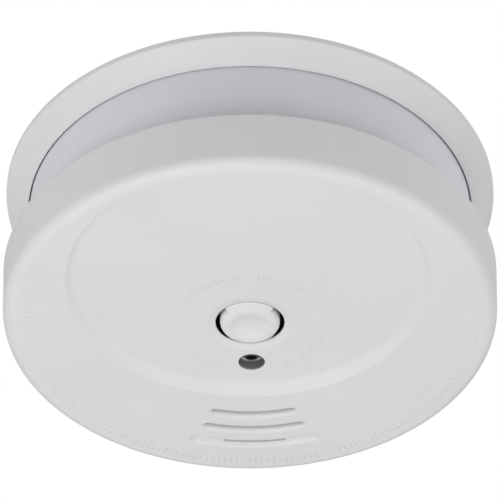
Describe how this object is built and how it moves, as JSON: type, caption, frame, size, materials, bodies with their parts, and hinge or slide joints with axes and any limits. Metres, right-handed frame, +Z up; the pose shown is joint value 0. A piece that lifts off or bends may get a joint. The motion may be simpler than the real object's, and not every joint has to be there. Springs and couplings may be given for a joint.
{
  "type": "smoke detector",
  "caption": "Round ceiling smoke detector with twist-lock mounting plate, recessed neck, cover with tilted round recess, test button, status light and curved horn slots.",
  "frame": {"origin": "centre of the ceiling face of the mounting plate, midway between the two screw holes", "axes": "+Z up into the ceiling, the detector hangs along -Z; +Y towards the horn slots and the status light; +X along the line of the two round screw holes"},
  "size_m": [0.108, 0.108, 0.0362],
  "materials": {
    "white_plastic": "fine satin texture",
    "plate_plastic": "fine satin texture",
    "neck_plastic": "fine satin texture",
    "button_plastic": "smooth satin",
    "smoked_lens": "polished",
    "led_red": "polished",
    "steel": "plated",
    "board_green": "solder mask",
    "black_plastic": "matt",
    "dark_epoxy": "fine satin",
    "capacitor_sleeve": "sleeve",
    "coil_copper": "enamelled wire",
    "clear_tint": "polished",
    "horn_plastic": "satin",
    "brass": "rolled",
    "ceramic": "silvered ceramic",
    "battery_paint": "satin paint"
  },
  "bodies": {
    "mounting_plate": {"mounting_plate": "plate_plastic"},
    "detector_head": {"rear_housing": "neck_plastic", "front_cover": "white_plastic", "led_window": "smoked_lens", "housing_screws": "steel", "circuit_board": "board_green", "board_screws": "steel", "switch_body": "dark_epoxy", "status_led": "led_red", "controller_chip": "dark_epoxy", "storage_capacitor": "capacitor_sleeve", "horn_coil": "coil_copper", "chip_resistors": "dark_epoxy", "chamber_base": "black_plastic", "labyrinth_cap": "black_plastic", "insect_screen": "steel", "infrared_emitter": "clear_tint", "photodiode": "dark_epoxy", "receiver_shield": "steel", "horn_housing": "horn_plastic", "horn_disc": "brass", "horn_crystal": "ceramic", "horn_contacts": "steel", "battery_jacket": "battery_paint", "battery_cap": "black_plastic", "battery_terminals": "steel", "battery_contacts": "steel", "contact_carrier": "dark_epoxy"},
    "test_button": {"test_button": "button_plastic"},
    "switch_plunger": {"switch_plunger": "black_plastic"}
  },
  "joints": [
    {"name": "bayonet_twist", "type": "hinge", "parent": "mounting_plate", "child": "detector_head", "pos_m": [0, 0, 0], "axis": [0, 0, 1], "range_deg": [-18, 0]},
    {"name": "test_button_press", "type": "slide", "parent": "detector_head", "child": "test_button", "axis": [0, 0, 1], "range_m": [0, 0.0008], "stiffness_N_per_m": 1500, "springref_m": -0.0004},
    {"name": "switch_plunger_press", "type": "slide", "parent": "detector_head", "child": "switch_plunger", "axis": [0, 0, 1], "range_m": [0, 0.0008]}
  ],
  "couplings": [
    {"joint": "switch_plunger_press", "follows": "test_button_press", "ratio": 1}
  ]
}
